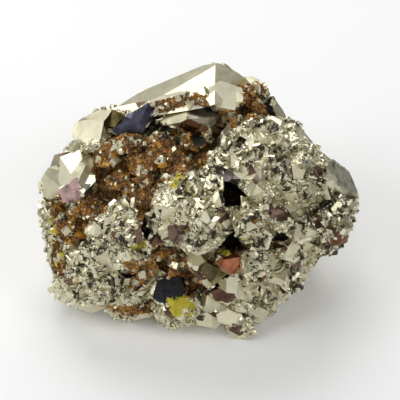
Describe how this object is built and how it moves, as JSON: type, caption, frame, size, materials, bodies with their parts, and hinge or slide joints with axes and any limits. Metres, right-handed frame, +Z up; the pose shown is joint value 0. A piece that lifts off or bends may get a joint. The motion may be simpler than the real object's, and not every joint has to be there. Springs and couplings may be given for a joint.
{
  "type": "pyrite specimen",
  "caption": "Pyrite hand specimen: intergrown metallic crystals and broken masses round a rusty diagonal valley, resting on a flat base.",
  "frame": {"origin": "on the resting surface, under the middle of the bounding box", "axes": "+X along the longest extent, +Z up, the rusty valley faces up and forward to -Y"},
  "size_m": [0.0714, 0.0522, 0.0416],
  "materials": {
    "pyrite": "metallic crystal faces and rough fracture with rusty limonite in the hollows"
  },
  "bodies": {
    "root": {"pyrite_cluster": "pyrite"}
  },
  "joints": []
}
